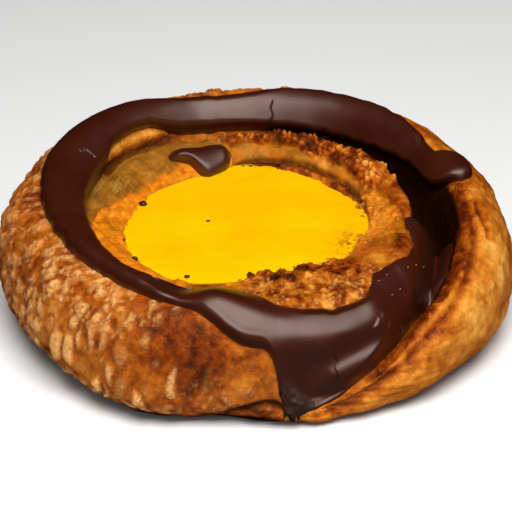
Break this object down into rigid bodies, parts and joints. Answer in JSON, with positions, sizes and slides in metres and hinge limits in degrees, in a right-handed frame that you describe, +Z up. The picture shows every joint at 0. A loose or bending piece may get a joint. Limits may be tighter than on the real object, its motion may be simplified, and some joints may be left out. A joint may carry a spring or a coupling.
{
  "type": "danish pastry",
  "caption": "Coiled danish pastry with a pool of custard in the middle and a thick dark chocolate ribbon over its crest.",
  "frame": {"origin": "centre of the bounding box in plan, on the flat base that it rests on", "axes": "+Z up, +X to the right along the longest side, the notch where the coil's tail tucks under towards -Y"},
  "size_m": [0.121, 0.109, 0.0341],
  "materials": {
    "baked_dough": "golden to dark brown laminated crust with blisters and flakes",
    "custard": "smooth bright yellow baked custard",
    "dark_chocolate": "set dark chocolate icing with a satin sheen"
  },
  "bodies": {
    "root": {"pastry": "baked_dough", "custard": "custard", "chocolate": "dark_chocolate", "chocolate_drip": "dark_chocolate"}
  },
  "joints": []
}
